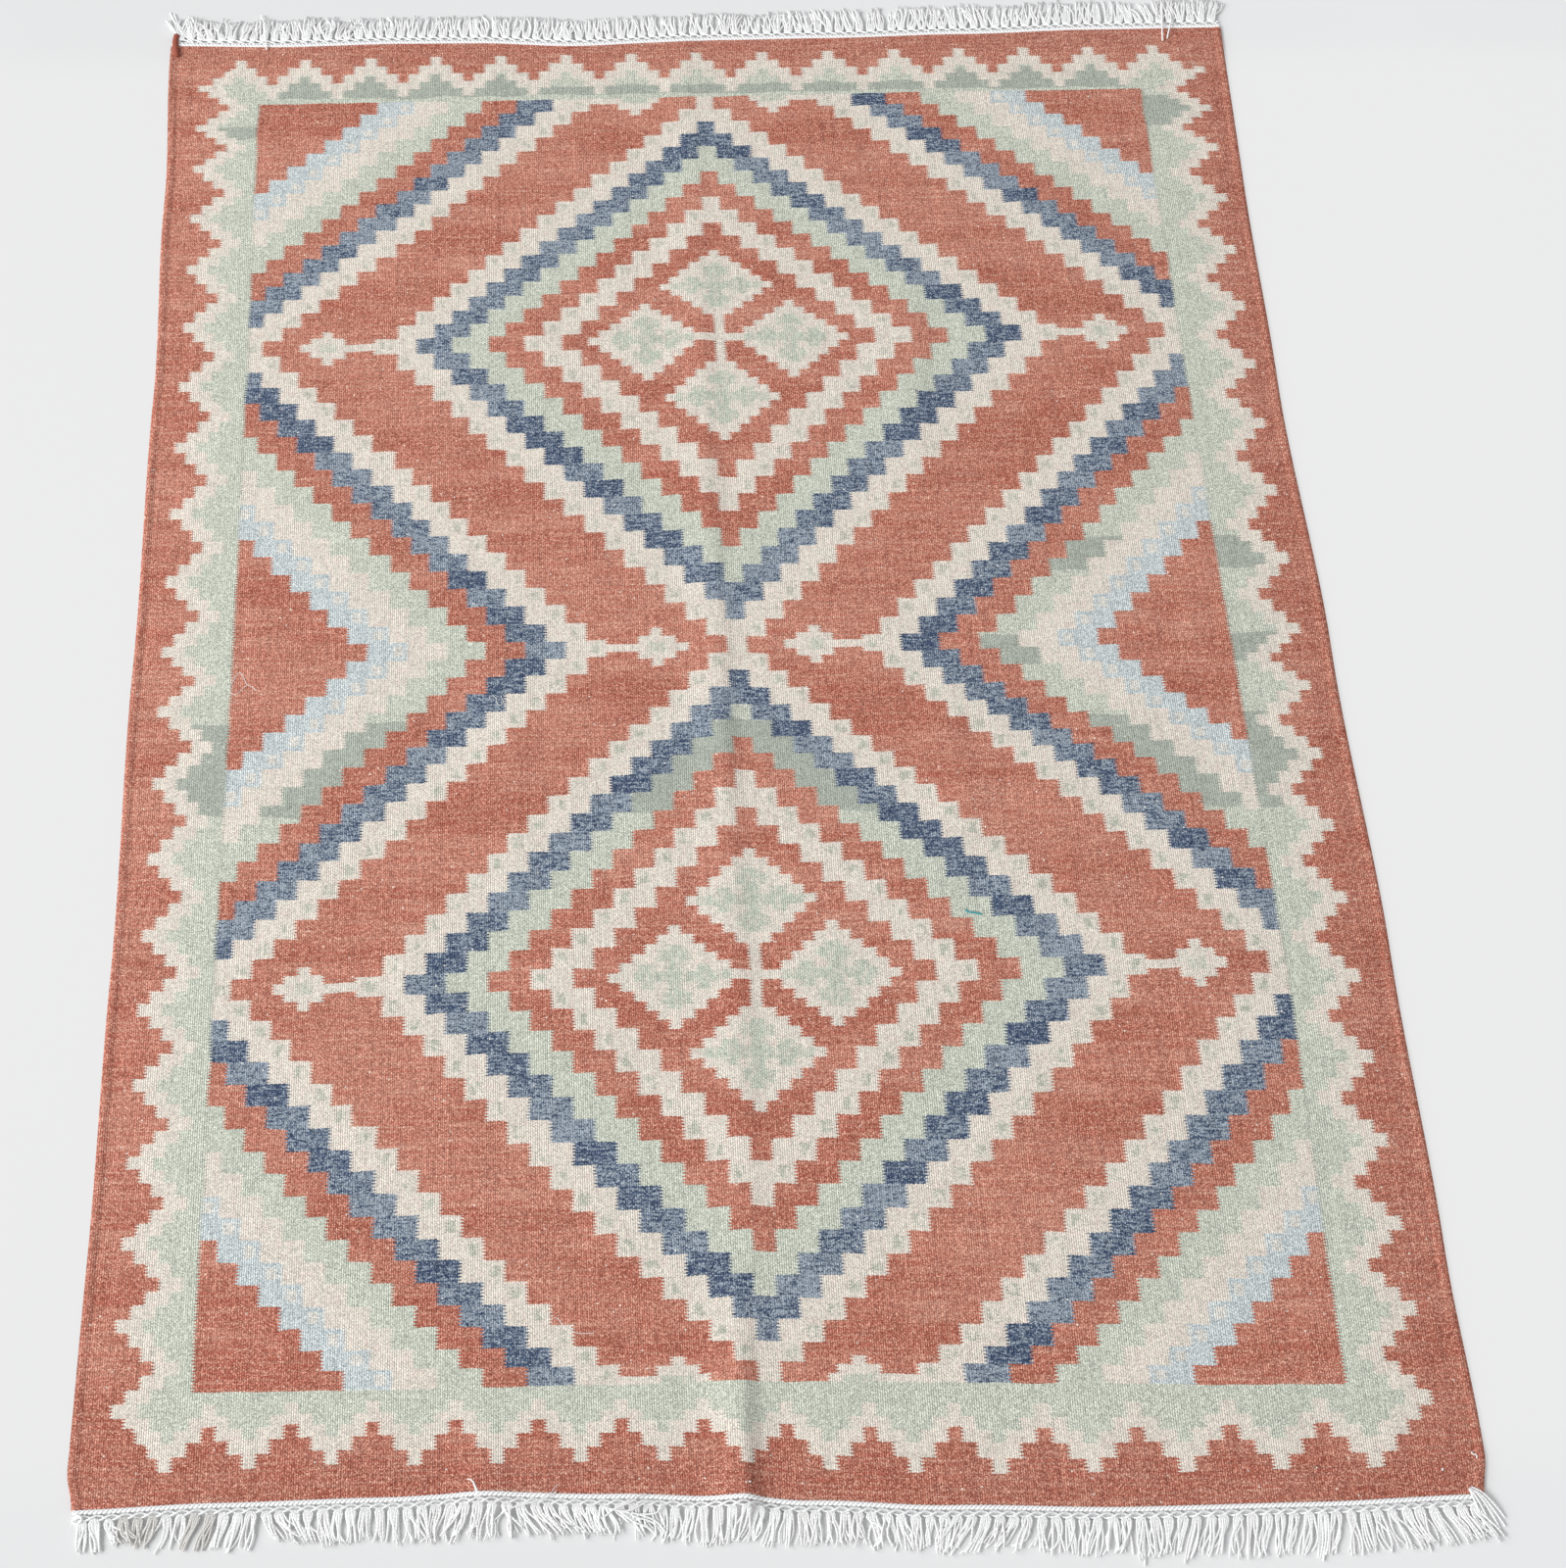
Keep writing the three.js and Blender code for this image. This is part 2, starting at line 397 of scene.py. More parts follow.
dyeing = {
    # each second colour: where it starts and ends in a noise, and the most of it
    "redBatch": (0.34, 0.6), "brightStreak": (0.52, 0.3, 0.42),
    "paleStreak": (0.45, 0.85, 0.25), "wornNavy": (0.82, 1.5, 0.88),
    "pinkBeige": (0.4, 0.75, 0.6), "paleHeart": (0.42, 0.66, 0.4),
    "faintDot": (0.36, 0.56), "dotMost": 0.55, "farDotLess": 0.15, "ringedDot": 0.7,
    "thinRed": 0.7, "greySage": 0.85, "lint": (0.9985, 0.55),
    # paler fibres in each yarn
    "redFleck": 0.6, "navyFleck": 0.3, "sageFleck": 0.3, "beigeFleck": 0.15, "blueFleck": 0.4,
    # what the wear of the navy comes from
    "navyWear": {"worn": 1.15, "rowTone": 0.42, "speck": 0.35, "fibre": 0.4},
}

# painted shade: where the red is darker towards the cloth's edges, metres from and to, and how much
darker = {
    "near": (0.14, 0.02, 1.0), "left": (0.02, 0.006, 0.6),
    "right": (1.19, 1.27, 0.7), "far": (1.77, 1.81, 0.7), "most": 0.62,
}

chart = {
    "cellWidth": 21.2, "rowHeight": 22.3,
    "lastRow": 36.5, "lastColumn": 25.3,
    "centreRow": 18,  # rows from the middle of the rug to a medallion's centre
    "lastRing": 48,
    "dot": (0.24, 0.27),  # half size of the dot in a cell
    "toothWidth": 79.5, "toothLength": 88, "toothSteps": 6,
}

# stepped rings round the two medallion centres, counted in cells
rings = {
    "navy": [(14.5, 16.5), (26.5, 28.5)],
    "sage": [(12.5, 14.5), (30.5, 32.5)],
    "beige": [(8.5, 10.5), (16.5, 18.5), (24.5, 26.5), (32.5, 34.5)],
    "blue": [(34.5, 36.5)],
    "thinRed": [(28.5, 30.5)],
    "dotted": [(9.5, 10.5), (17.5, 18.5), (24.5, 25.5)],  # a dot in each cell
    "ringed": [(34.5, 35.5)],
}

# small ornaments, in columns across and rows along
diamond = {
    "apart": (3.72, 3.74),  # from the centre, across and along
    "farther": 0.24,  # more across in the far medallion
    "sideSteps": (1.76, 2.14), "endSteps": (1.77, 2.1),  # steps to a column and to a row
    "edge": 5.5, "heart": 4.5,
    "link": (0.28, 0.25, 1.6),  # thin cross that joins the four: half widths, reach
    "arms": ((1.93, 0.27), (0.37, 1.6)),  # cross in each: half widths and heights
    # bars across the arms: place, half thickness, half length
    "sideBar": (1.29, 0.35, 0.62), "endBar": (1.06, 0.28, 0.74),
}
flower = {
    "block": (0.93, 0.66), "arms": (0.28, 1.1), "heart": (0.42, 0.3),  # half width, half height
    "point": 0.26, "stem": 0.22, "heartShare": 0.7,
    "side": (21.0, 22.45, 18.4), "neck": (4.02, 2.45, 6.6),  # middle, tip and stem's end
}
endTriangle = {
    "apart": 3.95,  # columns from the middle
    "steps": ((0.92, 0.93), (1.4, 0.29)), "heart": (0.4, 0.7),  # rows high, half width
    "line": (0.42, 2.6, 7),  # beige line beside them: rows high, from and to
}

# where the chart's columns and rows lie, at five places each, as none is quite straight
columnStations = {"near": 200, "low": 520, "middle": 915, "high": 1360, "far": 1640}
columnPlaces = table(
    "column near low middle high far",
    (-25.3, 110, 110, 112, 111, 109), (-18.5, 252, 254, 257, 257, 255),
    (-17.5, 275, 282, 280, 285, 278), (-10.8, 418, 424, 421, 424, 416),
    (-5.6, 530, 536, 536, 537, 532), (0, 651, 658, 657, 655, 652),
    (5, 757, 766, 761, 759, 757), (10.3, 871, 878, 870, 871, 867),
    (15.6, 985, 992, 983, 983, 979), (20.9, 1097, 1101, 1095, 1091, 1091),
    (25.3, 1186, 1191, 1187, 1182, 1181))
rowStations = {"left": 220, "inLeft": 430, "middle": 648, "inRight": 870, "right": 1094}
rowPlaces = table(
    "row left inLeft middle inRight right",
    (-36.5, 112, 115, 118, 115, 111), (-34.2, 157, 158, 163, 156, 154),
    (-29.8, 255, 256, 262, 257, 253), (-25.5, 354, 360, 364, 360, 356),
    (-21.1, 460, 468, 471, 470, 474), (-16.7, 560, 568, 570, 575, 581),
    (-12.2, 661, 669, 674, 681, 688), (-7.7, 762, 769, 776, 778, 787),
    (-3.2, 862, 863, 867, 868, 876), (1.3, 961, 962, 965, 966, 970),
    (5.5, 1060, 1062, 1066, 1066, 1068), (9.8, 1161, 1163, 1168, 1167, 1169),
    (14.1, 1262, 1263, 1270, 1266, 1268), (18.3, 1358, 1360, 1366, 1364, 1367),
    (23.3, 1460, 1461, 1467, 1468, 1472), (28.2, 1560, 1561, 1564, 1567, 1572),
    (33.1, 1662, 1660, 1662, 1668, 1668), (36.5, 1730, 1730, 1730, 1733, 1732))

# the border's teeth, numbered from the left and from the far end
teethAcross = table("tooth far near", (0, 84, 88), (8, 725, 703), (10, 887, 858), (14, 1203, 1201))
teethAlong = table(
    "tooth left right",
    (0, 72, 68), (2, 202, 192), (4, 359, 352), (7, 619, 605), (10, 893, 882),
    (11, 968, 953), (14, 1238, 1208), (17, 1487, 1475), (20, 1736, 1732))

# where the beige teeth begin and the height of their steps, then the sage inside them
border = {
    "left": (34.4, 12.5, 59.4, 12.0), "right": (33.5, 12.6, 58.5, 12.2),
    "far": (26.8, 13.5, 54.3, 12.4), "near": (37.0, 14.0, 65.0, 11.6),
}

# how much lower the near border was woven, from left to right
nearDrop = table(
    "left drop", (0, 2), (85, 2), (160, -1), (240, -4.7), (320, -4.7), (543, -6.5),
    (620, -3.3), (694, 3.8), (773, 6.3), (890, 8), (990, 8), (1100, 5.5), (1296, 3))

# where a greyer sage was woven in: from and to, down from the far end
greyRows = {
    "across": [(980, 1098)],  # the whole width
    "leftBorder": [(129, 152)], "rightBorder": [(104, 152)],
    "rightSide": [(752, 800), (883, 921)],  # only right of the middle lozenge
    "teeth": [(54, 90)], "strip": [(78, 90)],  # in the far border
}
greyPlaces = {
    "rightSide": 10,  # from this column on
    "teeth": [(120, 440), (920, 1160)],  # from the left
    "strip": (640, 520),  # its middle and half its length
    "wander": 12,  # unevenness of the change of yarn
}


def isNear(value, place, most):
    return abs(value - place) < most


def diamondShapes(net, reachX, reachY, farHalf):
    # four small diamonds at each centre, joined by a thin cross
    across, along = diamond["apart"]
    high = abs(reachY)
    sideX = abs(reachX - (across + farHalf * diamond["farther"]))
    endY = abs(high - along)
    steps = net.least(
        net.whole(sideX * diamond["sideSteps"][0]) + net.whole(high * diamond["sideSteps"][1]),
        net.whole(reachX * diamond["endSteps"][0]) + net.whole(endY * diamond["endSteps"][1]))
    upright, level, reach = diamond["link"]
    link = net.most((reachX < upright) * (high < reach), (high < level) * (reachX < reach))
    edge = net.most(steps < diamond["edge"], link)
    # in each a cross whose arms are crossed again
    armX, armY = net.least(reachX, sideX), net.least(high, endY)
    parts = [(armX < wide) * (armY < tall) for wide, tall in diamond["arms"]]
    bars = ((armX, armY, diamond["sideBar"]), (armY, armX, diamond["endBar"]))
    parts += [isNear(out, place, thick) * (other < long) for out, other, (place, thick, long) in bars]
    return edge, (steps < diamond["heart"]) * net.most(*parts)


def flowerShapes(net, reachX, reachY, which):
    # a flower on a stem in each lozenge of the red ground
    middle, tip, stemEnd = flower[which]
    away = abs(reachX - middle)
    high = abs(reachY)

    def bar(end, thick):
        return (reachX > min(middle, end)) * (reachX < max(middle, end)) * (high < thick)

    block, arms, heart = [(away < wide) * (high < tall)
                          for wide, tall in (flower["block"], flower["arms"], flower["heart"])]
    shape = net.most(block, arms, bar(tip, flower["point"]), bar(stemEnd, flower["stem"]))
    return shape, heart * flower["heartShare"]


def endShapes(net, reachX, fromEnd):
    # beige line and stepped triangles at the panel's ends
    aside = abs(reachX - endTriangle["apart"])
    tall, start, end = endTriangle["line"]
    shapes = [(fromEnd < tall) * (reachX > start) * (reachX < end)]
    shapes += [(fromEnd < tall) * (aside < wide) for tall, wide in endTriangle["steps"]]
    tall, wide = endTriangle["heart"]
    return net.most(*shapes), (fromEnd < tall) * (aside < wide)


def borderShapes(net, x, y, tooth, notch):
    # stepped teeth on all sides: inside the beige, and inside the sage
    levelX = net.whole(abs(tooth - net.whole(tooth)) * chart["toothSteps"])
    levelY = net.whole(abs(notch - net.whole(notch)) * chart["toothSteps"])
    sides = {"far": (clothLength - y / mm, levelX), "near": (y / mm, levelX),
             "left": (x / mm, levelY), "right": (clothWidth - x / mm, levelY)}
    inside = []
    for first in (0, 2):
        stepsIn = []
        for side, (distance, level) in sides.items():
            start, step = border[side][first:first + 2]
            stepsIn.append((distance - start) / step - level)
        inside.append(net.least(*stepsIn) > 0)
    return inside


def greySage(net, x, strayX, fromFar, column):
    inRows = {name: net.bands(fromFar / mm, clothLength, *spans) for name, spans in greyRows.items()}
    inTeeth = net.bands(strayX / mm, clothWidth, *greyPlaces["teeth"])
    middle, half = greyPlaces["strip"]
    return net.most(
        inRows["across"], inRows["leftBorder"] * (column < -chart["lastColumn"]),
        inRows["rightBorder"] * (column > chart["lastColumn"]),
        inRows["rightSide"] * (column > greyPlaces["rightSide"]),
        inRows["teeth"] * inTeeth, inRows["strip"] * isNear(x, middle * mm, half * mm))


def floatOffsets(net, x, y):
    # the warp and how far off a float's middle; every other warp is half a float up
    warps = x / (weave["warp"] * mm)
    warp = net.floor(warps)
    picks = y / (weave["bead"] * mm) + net.maths("MODULO", warp, 2) * 0.5
    return warp, net.maths("FRACT", warps) - 0.5, net.maths("FRACT", picks) - 0.5


def dyedYarns(net, x, y, noise, speck, fibre, rowTone, inRing):
    # each yarn with its own unevenness
    fleck = fibre * fibre
    tuft = fleck * fleck
    # painted shade: the red darker towards the near, left, right and far edges
    shade = net.most(
        net.eased(y, *darker["near"]), net.eased(x, *darker["left"]),
        net.eased(x, *darker["right"]), net.eased(y, *darker["far"])) * darker["most"]
    red = net.mix(net.eased(noise["batch"], *dyeing["redBatch"]), yarn["redDeep"], yarn["red"])
    red = net.mix(shade, red, yarn["redShade"])
    red = net.mix(net.eased(noise["streak"], *dyeing["brightStreak"]), red, yarn["redBright"])
    red = net.mix(inRing["thinRed"] * rowTone * dyeing["thinRed"], red, yarn["redDeep"])
    pale = net.eased(noise["streak"], *dyeing["paleStreak"]) + tuft * dyeing["redFleck"]
    wear = dyeing["navyWear"]
    worn = (noise["worn"] * wear["worn"] + rowTone * wear["rowTone"]
            + speck * wear["speck"] + fibre * wear["fibre"])
    wornNavy = net.eased(worn, *dyeing["wornNavy"]) + tuft * dyeing["navyFleck"]
    beige = net.mix(net.eased(noise["cloud"], *dyeing["pinkBeige"]), yarn["beige"], yarn["beigePink"])
    return {
        "red": net.mix(pale, red, yarn["redPale"]),
        "navy": net.mix(wornNavy, yarn["navy"], yarn["navyWorn"]),
        "sage": net.mix(fleck * dyeing["sageFleck"], yarn["sage"], yarn["warp"]),
        "beige": net.mix(tuft * dyeing["beigeFleck"], beige, yarn["redPale"]),
        "blue": net.mix(fleck * dyeing["blueFleck"], yarn["blue"], yarn["warp"]),
    }


def woolMaterial():
    net = Net("wovenWool")
    x, y = net.map("cloth")
    mapColumn, mapRow = net.map("chart")
    mapTooth, mapNotch = net.map("teeth")

    # colours meet along a warp in small teeth, and steps are uneven
    stray = net.noise(x, y, "stray", "Color")
    strayParts = net.node("ShaderNodeSeparateColor", {}, {"Color": stray})
    wander = 2 * weave["wander"] * mm
    teeth = net.maths("SINE", y * (2 * math.pi / (weave["tooth"] * mm)))
    ripple = net.maths("SINE", x * (math.pi / (weave["warp"] * mm)))
    moveX = teeth * (weave["toothReach"] * mm) + (strayParts - 0.5) * wander
    moveY = ripple * (weave["dip"] * mm) + (strayParts.out("Green") - 0.5) * wander
    atColumn = mapColumn + moveX / (chart["cellWidth"] * mm)
    atRow = mapRow + moveY / (chart["rowHeight"] * mm)
    atTooth = mapTooth + moveX / (chart["toothWidth"] * mm)
    atNotch = mapNotch - moveY / (chart["toothLength"] * mm)

    # where each colour lies
    column, row = net.whole(atColumn), net.whole(atRow)
    reachX = abs(atColumn)
    reachY = abs(atRow) - chart["centreRow"]
    farHalf = atRow > 0
    ring = abs(column) + abs(abs(row) - chart["centreRow"])
    inRing = {name: net.bands(ring, chart["lastRing"], *spans) for name, spans in rings.items()}
    dotWidth, dotHeight = chart["dot"]
    dot = isNear(atColumn, column, dotWidth) * isNear(atRow, row, dotHeight)
    dotted = inRing["dotted"] * (abs(column) > 0.5) * dot

    fromEnd = chart["lastRow"] - abs(atRow)
    diamondEdge, diamondHeart = diamondShapes(net, reachX, reachY, farHalf)
    sideFlower, sideHeart = flowerShapes(net, reachX, reachY, "side")
    neckFlower, neckHeart = flowerShapes(net, reachX, atRow, "neck")
    triangle, triangleHeart = endShapes(net, reachX, fromEnd)
    ornament = net.most(diamondEdge, sideFlower, neckFlower, triangle)
    ornamentHeart = net.most(diamondHeart, sideHeart, neckHeart, triangleHeart)
    inPanel = (reachX < chart["lastColumn"]) * (fromEnd > 0)
    inEdging, inBorder = borderShapes(net, x + moveX, y + moveY, atTooth, atNotch)

    # floats over every other warp, and the unevenness of the yarns
    swayed = x + (strayParts.out("Blue") - 0.5) * (weave["sway"] * mm)
    warp, offX, offY = floatOffsets(net, swayed, y)
    fallX, fallY = weave["crown"]
    # painted light: each float lighter in its middle and shaded towards its edges
    crown = net.maths("SUBTRACT", 1, offX * offX * fallX + offY * offY * fallY, held=True)
    speck = net.grain(warp, net.floor(y / (weave["bead"] / 2 * mm)))
    across, along = weave["fibre"]
    fibre = net.grain(net.floor(swayed / (across * mm)), net.floor(y / (along * mm)))
    noise = {kind: net.noise(x, y, kind) for kind in ("streak", "rib", "batch", "cloud", "worn")}
    rowTone = net.grain(row, net.floor(ring / 12) * 2 + (atColumn > 0))
    dyed = dyedYarns(net, x, y, noise, speck, fibre, rowTone, inRing)
    fromFar = clothLength * mm - (y + moveY) + (stray - 0.5) * (greyPlaces["wander"] * mm)
    grey = greySage(net, x, x + moveX, fromFar, atColumn)
    dyed["sage"] = net.mix(grey * dyeing["greySage"], dyed["sage"], yarn["sageGrey"])

    # the panel, from the ground up
    panel = dyed["red"]
    for name in ("beige", "sage", "navy", "blue"):
        panel = net.mix(inRing[name], panel, dyed[name])
    dotted = dotted * net.eased(noise["cloud"], *dyeing["faintDot"])
    panel = net.mix(dotted * (dyeing["dotMost"] - farHalf * dyeing["farDotLess"]), panel, yarn["dot"])
    panel = net.mix(inRing["ringed"] * dot * dyeing["ringedDot"], panel, yarn["beige"])
    panel = net.mix(ornament, panel, dyed["beige"])
    heartYarn = net.mix(net.eased(noise["cloud"], *dyeing["paleHeart"]), yarn["sage"], dyed["beige"])
    panel = net.mix(ornamentHeart, panel, heartYarn)

    colour = net.mix(inEdging, dyed["red"], dyed["beige"])
    colour = net.mix(inBorder, colour, dyed["sage"])
    colour = net.mix(inPanel, colour, panel)
    speckAbove, lintShare = dyeing["lint"]
    colour = net.mix((speck > speckAbove) * lintShare, colour, yarn["warp"])

    # light and dark, the pale yarns being the smoother ones; the crown is a painted highlight and painted
    # shade on each float, and slit and rim are painted shade
    pale = net.most(inRing["beige"], inRing["sage"], inRing["blue"], ornament) * inPanel
    pale = pale + inEdging * (1 - inPanel)
    tone = (toning["middle"] + crown * toning["crown"] + ripple * toning["ripple"]
            + speck * toning["speck"] + noise["streak"] * toning["streak"])
    tone = tone + (fibre - 0.5) * (toning["coarse"] - pale * toning["coarseLess"])
    tone = tone + (noise["rib"] - 0.5) * (toning["rib"] - pale * toning["ribLess"])
    # painted shade in the slits at the panel's sides
    slit = isNear(reachX, chart["lastColumn"], toning["slitWidth"]) * (fromEnd > 0)
    # painted shade on the left selvedge's rim, whose side the lamp lights
    rim = x < toning["rimWidth"] * mm
    tone = tone * (1 - slit * toning["slit"] - rim * toning["rim"])
    _, offX, offY = floatOffsets(net, x, y)
    fallX, fallY = weave["ridge"]
    ridge = 1 - offX * offX * fallX - offY * offY * fallY
    return net.finish(net.scaled(colour, tone), ridge, weave["relief"])


# The woven cloth

clothMesh = {
    "spacing": 8.0,  # between the rows and columns of its net
    "sideColumns": (0, 1.5, 3, 5, 7, 8.5, 10, 12, 15), "endRows": (0, 4),  # closer, at the edges
    "creaseColumns": range(-8, 28, 3),  # closer, at the near crease
    "creaseClear": 0.6,  # share of their span without even columns
    "ripple": 0.35,  # slight unevenness everywhere
    "rippleFade": (60, 40),  # but flatter this near the sides and the ends
    "nearFade": (60, 80),  # the lower near border, fading from here over so much
    # the weave's four corners in the drawing, and their shares across and along
    "corners": (((-628.7, -908.9), (0, 0)), ((670.7, -926.3), (1, 0)),
                ((627.3, 925.4), (1, 1)), ((-673.7, 909.5), (0, 1))),
}


def clothStations(close, length):
    close = np.array(close) / length
    count = round((1 - 2 * close[-1]) * length / clothMesh["spacing"])
    even = close[-1] + (1 - 2 * close[-1]) * np.arange(1, count) / count
    return np.concatenate([close, even, 1 - close[::-1]])


def patternPlace(x, y):
    # millimetres from the near left corner, as if the cloth lay square
    rows, sums = [], []
    for (cornerX, cornerY), (u, v) in clothMesh["corners"]:
        rows.append((cornerX, cornerY, 1, 0, 0, 0, -u * cornerX, -u * cornerY))
        rows.append((0, 0, 0, cornerX, cornerY, 1, -v * cornerX, -v * cornerY))
        sums += [u, v]
    a, b, c, d, e, f, g, h = np.linalg.solve(rows, sums)
    below = g * x + h * y + 1
    return (a * x + b * y + c) / below * clothWidth, (d * x + e * y + f) / below * clothLength


def placeInChart(rows, column, stations, place, aside):
    # read at each station, then blended between them
    read = np.stack([straight(rows, name, column, place) for name in stations])
    after, share = between(np.array(list(stations.values()), float), aside)
    last, following = (np.take_along_axis(read, k[None], 0)[0] for k in (after - 1, after))
    return mixed(last, following, np.clip(share, 0, 1))


def sideToSide(place, whole):
    # 0 towards one side, 1 towards the other
    return smooth(place / whole * 1.6 - 0.3)


def chartMaps(u, v):
    # metres, the chart's columns and rows, and the teeth
    column = placeInChart(columnPlaces, "column", columnStations, u, v)
    row = placeInChart(rowPlaces, "row", rowStations, v, u)
    tooth = mixed(
        straight(teethAcross, "near", "tooth", u), straight(teethAcross, "far", "tooth", u),
        sideToSide(v, clothLength))
    notch = mixed(
        straight(teethAlong, "left", "tooth", clothLength - v),
        straight(teethAlong, "right", "tooth", clothLength - v), sideToSide(u, clothWidth))
    start, fade = clothMesh["nearFade"]
    lower = straight(nearDrop, "left", "drop", u) * (1 - smooth((v - start) / fade))
    return {"cloth": (u * mm, (v + lower) * mm), "chart": (column, row), "teeth": (tooth, notch)}


def slightRipple(across, along, inward):
    waves = (np.sin(across * 23 + 3 * np.sin(along * 9)) + np.sin(across * 61 + along * 17)
             + np.sin(along * 37 + 2 * np.sin(across * 11)))
    sideFade, endFade = clothMesh["rippleFade"]
    fromEnds = np.minimum(along, 1 - along) * clothLength
    fade = smooth(np.minimum(inward / sideFade, fromEnds / endFade))
    return clothMesh["ripple"] * (waves + 3) / 2 * fade


def wovenCloth(material):
    columns = clothStations(clothMesh["sideColumns"], clothWidth)
    crease = folds["across"][1] + np.array(clothMesh["creaseColumns"]) / clothWidth
    clear = abs(columns - crease.mean()) > np.ptp(crease) * clothMesh["creaseClear"]
    columns = np.sort(np.concatenate([columns[clear], crease]))
    rows = clothStations(clothMesh["endRows"], clothLength)
    across, along = np.meshgrid(columns, rows)
    x, y, width = planPoint(across, along)
    inward = np.minimum(across, 1 - across) * width
    lift = liftAt(across, along) + slightRipple(across, along, inward)
    thick = readTable(selvedgeProfile, "inward", "height", inward)
    top = toFrame(x, y, lift + thick).reshape(-1, 3)
    bottom = toFrame(x, y, lift).reshape(-1, 3)

    n, m = len(rows), len(columns)
    index = np.arange(n * m).reshape(n, m)
    quads = np.stack([index[:-1, :-1], index[:-1, 1:], index[1:, 1:], index[1:, :-1]], -1).reshape(-1, 4)
    under = quads[:, ::-1] + n * m
    loop = np.concatenate([index[0, :], index[1:, -1], index[-1, -2::-1], index[-2:0:-1, 0]])
    after = np.roll(loop, -1)
    rim = np.stack([loop + n * m, after + n * m, after, loop], -1)
    faces = np.concatenate([quads, under, rim])
    corners = faces.ravel() % (n * m)
    maps = {name: np.stack([a.ravel(), b.ravel()], -1)[corners]
            for name, (a, b) in chartMaps(*patternPlace(x, y)).items()}
    return newPiece("kilimCloth", np.concatenate([top, bottom]), faces.tolist(), maps, material)


cloth = wovenCloth(woolMaterial())
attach(cloth, "root")
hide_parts("woven_cloth")
print("cloth woven:", len(cloth.data.polygons), "faces")


# The twined heading and the fringe

cottonYarn = {
    "soiled": dye(214, 211, 205), "white": dye(255, 255, 255),
    "ply": 3.5, "plyShade": 0.025, "relief": 0.1,
}


def pliedYarn(net, colour, spec):
    turns = net.ply(spec["ply"])
    shade = 1 - spec["plyShade"] + turns * spec["plyShade"]
    return net.finish(net.scaled(colour, shade), turns, spec["relief"])


def cottonMaterial():
    net = Net("fringeCotton")
    tone, _ = net.map("tone")
    return pliedYarn(net, net.mix(tone, cottonYarn["soiled"], cottonYarn["white"]), cottonYarn)


cotton = cottonMaterial()

twining = {
    # out from the cloth's end, twist radius, strand radius, length of a twist, steps in it
    "first": (2.3, 1.35, 1.3, 8.66, 8),
    "second": (8.3, 2.2, 1.0, 25.6, 16),
    "flat": 0.7,  # height of a twist over its width
    "height": 2.5,
    "inset": 0.0015,  # from the sides, as a share of the width
    "sides": 6,
}

lock = {
    "count": 100, "endMargin": 4,
    "seed": {-1: 11, 1: 12},  # -1 is the near end, 1 the far end
    "shoulder": 13.8,  # from the cloth to where the loops turn down
    "yarn": {-1: 1.12, 1: 1.25},  # radius of a yarn
    "tip": 0.8,  # share of it at the tip
    "halfWidth": 4.2, "leastHalf": 1.2,
    "loops": 3, "oneMore": {-1: 0.2, 1: 0.6},  # loops in a lock, and how often one more
    "spread": {-1: -1.3, 1: 0.5},  # degrees more outwards for each loop
    "crown": 1.0,  # height of a loop over its half width
    "arc": (180, 135, 90, 45, 0),  # degrees round a loop
    "legSteps": 5, "sides": 4,
    "trim": 3.4,  # how much shorter than in the tables
    "rootHeight": 2.2,
    "settled": 0.5,  # share of its length where a yarn reaches the floor
    "soiled": [(0.093, 0.006), (0.045, 0.014)],  # dirty near locks: place, half width
    "soiledTone": 0.25,
}

# what chance adds: in pairs, the least and more for each degree of disorder
chance = {
    "lean": 2, "lockLean": 3.2, "length": 2.5, "lengthSeed": 5, "middle": 0.5,
    "outwards": 2.0, "yarnLean": (1.5, 0.55), "bend": (9, 1.1), "wave": (7, 0.4),
    "yarnLength": 0.06, "size": (0.85, 1.12), "layer": (1.2, 0.08), "tone": (0.75, 1),
}

